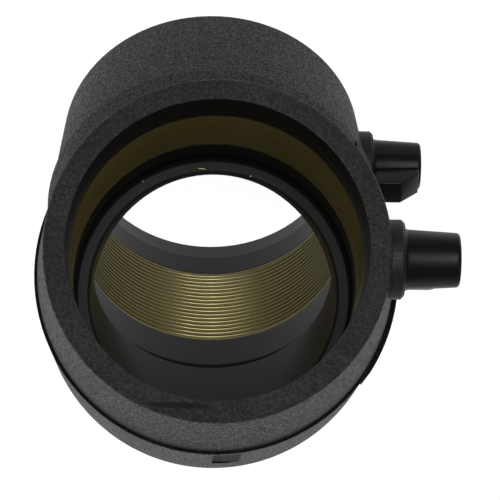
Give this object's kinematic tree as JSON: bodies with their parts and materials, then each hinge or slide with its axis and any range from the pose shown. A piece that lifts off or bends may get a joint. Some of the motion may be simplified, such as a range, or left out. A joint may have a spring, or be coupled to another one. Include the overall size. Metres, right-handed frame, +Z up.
{
  "type": "electrofusion elbow",
  "caption": "Black polyethylene 45 degree elbow with plain pipe sockets, a heating wire wound in each bore and capped side terminals.",
  "frame": {"origin": "centre of the lower socket's mouth, on the plane that it stands on", "axes": "+Z up the lower socket's axis, -Y the side that the upper socket leans to, -X the side of the two terminals"},
  "size_m": [0.0925, 0.1154, 0.1459],
  "materials": {
    "body_plastic": "matte black moulded polyethylene",
    "wire_brass": "dull olive gold wound wire",
    "pin_brass": "plain turned brass",
    "cap_plastic": "glossy black"
  },
  "bodies": {
    "root": {"elbow_body": "body_plastic", "heating_wire": "wire_brass", "lower_terminal_pin": "pin_brass", "upper_terminal_pin": "pin_brass", "lower_terminal_cap": "cap_plastic", "upper_terminal_cap": "cap_plastic"}
  },
  "joints": []
}
